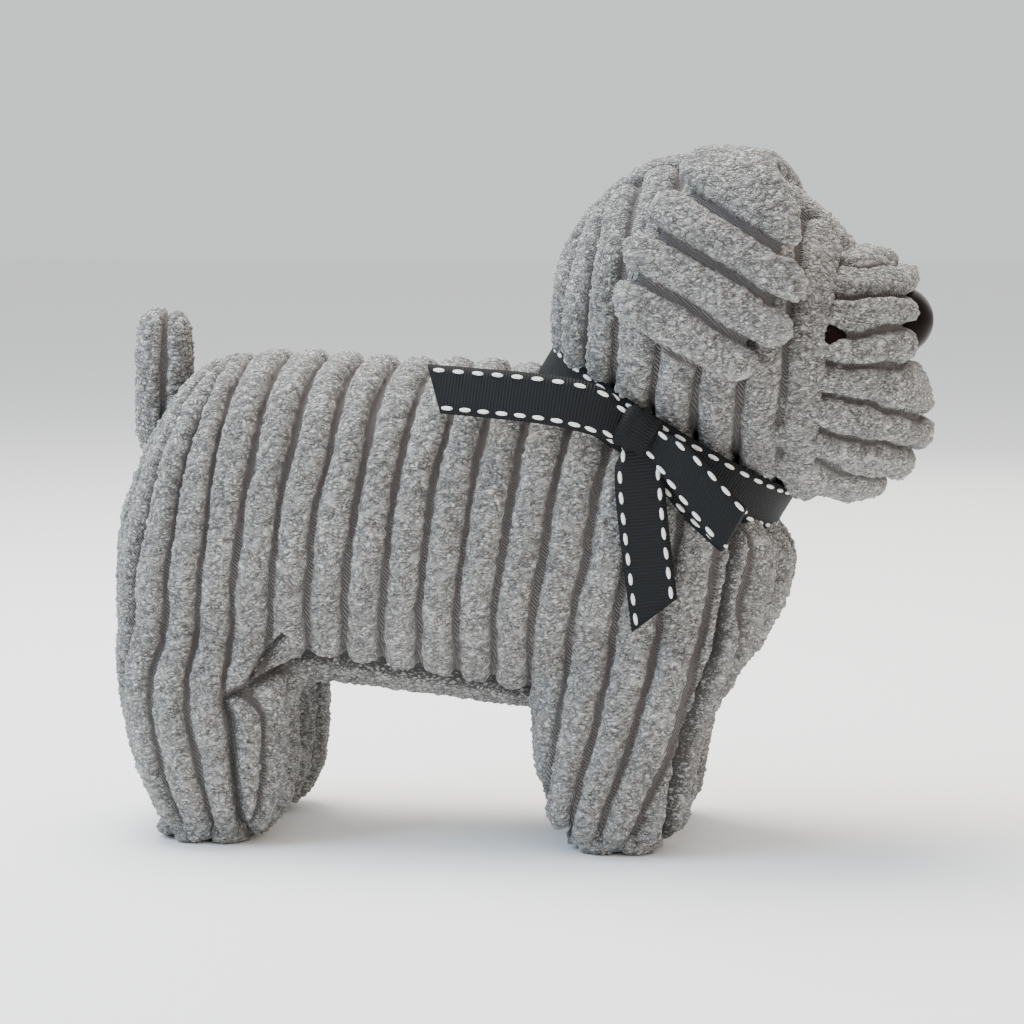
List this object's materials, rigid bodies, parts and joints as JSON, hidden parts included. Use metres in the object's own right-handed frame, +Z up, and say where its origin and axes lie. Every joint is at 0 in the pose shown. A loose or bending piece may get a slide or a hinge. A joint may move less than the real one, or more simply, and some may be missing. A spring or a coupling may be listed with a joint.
{
  "type": "plush dog",
  "caption": "Standing soft toy dog in wide-ribbed grey pile with flopped ears, a short tail, a moulded nose and eyes, and a stitched black ribbon tied round the neck.",
  "frame": {"origin": "on the floor, under the middle of the dog's box", "axes": "+X from the tail to the nose, +Y to the dog's left, +Z up"},
  "size_m": [0.255, 0.1116, 0.2128],
  "materials": {
    "wide_rib_plush": "grey wide-rib pile fabric, curly tufts about 1.5 mm, grooves to a brown-grey woven ground",
    "polyester_stuffing": "white polyester fibre filling",
    "grosgrain_ribbon": "black polyester grosgrain with fine cross ribs and off-white saddle stitches along both edges",
    "moulded_nose_and_eyes": "very dark brown moulded plastic, glossy",
    "white_washers": "white push-on safety washers, moulded"
  },
  "bodies": {
    "body": {"side_panel_right": "wide_rib_plush", "side_panel_left": "wide_rib_plush", "underbody": "wide_rib_plush", "sole_front_right": "wide_rib_plush", "sole_rear_right": "wide_rib_plush", "sole_front_left": "wide_rib_plush", "sole_rear_left": "wide_rib_plush", "trunk_stuffing": "polyester_stuffing", "leg_stuffing_front_right": "polyester_stuffing", "leg_stuffing_rear_right": "polyester_stuffing", "leg_stuffing_front_left": "polyester_stuffing", "leg_stuffing_rear_left": "polyester_stuffing", "ribbon_collar": "grosgrain_ribbon", "ribbon_knot": "grosgrain_ribbon"},
    "head": {"head_side_right": "wide_rib_plush", "head_side_left": "wide_rib_plush", "head_gusset": "wide_rib_plush", "muzzle_cover": "wide_rib_plush", "head_stuffing": "polyester_stuffing", "muzzle_stuffing": "polyester_stuffing", "nose": "moulded_nose_and_eyes", "eye_right": "moulded_nose_and_eyes", "eye_left": "moulded_nose_and_eyes", "nose_washer": "white_washers", "eye_washer_right": "white_washers", "eye_washer_left": "white_washers"},
    "ear_right": {"ear_outer_right": "wide_rib_plush", "ear_lining_right": "wide_rib_plush"},
    "ear_left": {"ear_outer_left": "wide_rib_plush", "ear_lining_left": "wide_rib_plush"},
    "tail": {"tail_cover_right": "wide_rib_plush", "tail_cover_left": "wide_rib_plush", "tail_stuffing": "polyester_stuffing"},
    "ribbon_loop": {"ribbon_loop": "grosgrain_ribbon"},
    "ribbon_back_end": {"ribbon_back_end": "grosgrain_ribbon"},
    "ribbon_hanging_end": {"ribbon_hanging_end": "grosgrain_ribbon"}
  },
  "joints": [
    {"name": "head_turn", "type": "hinge", "parent": "body", "child": "head", "pos_m": [0.05, 0, 0.134], "axis": [0.515, 0, 0.8572], "range_deg": [-20, 20], "stiffness_Nm_per_rad": 0.2},
    {"name": "ear_right_lift", "type": "hinge", "parent": "head", "child": "ear_right", "pos_m": [0.063, -0.0326, 0.206], "axis": [-1, 0, 0], "range_deg": [0, 85]},
    {"name": "ear_left_lift", "type": "hinge", "parent": "head", "child": "ear_left", "pos_m": [0.063, 0.0326, 0.206], "axis": [1, 0, 0], "range_deg": [0, 85]},
    {"name": "tail_wag", "type": "hinge", "parent": "body", "child": "tail", "pos_m": [-0.113, 0, 0.1352], "axis": [-0.8387, 0, 0.5446], "range_deg": [-25, 25], "stiffness_Nm_per_rad": 0.02},
    {"name": "ribbon_loop_lift", "type": "hinge", "parent": "body", "child": "ribbon_loop", "pos_m": [0.04782, -0.04757, 0.12418], "axis": [-0.65, 0, -0.76], "range_deg": [0, 70]},
    {"name": "ribbon_back_end_swing", "type": "hinge", "parent": "body", "child": "ribbon_back_end", "pos_m": [0.03341, -0.04577, 0.13207], "axis": [0.2064, 0.2998, 0.9314], "range_deg": [0, 70]},
    {"name": "ribbon_hanging_end_swing", "type": "hinge", "parent": "body", "child": "ribbon_hanging_end", "pos_m": [0.03965, -0.04615, 0.12295], "axis": [-0.9817, 0, -0.1903], "range_deg": [0, 80]}
  ]
}
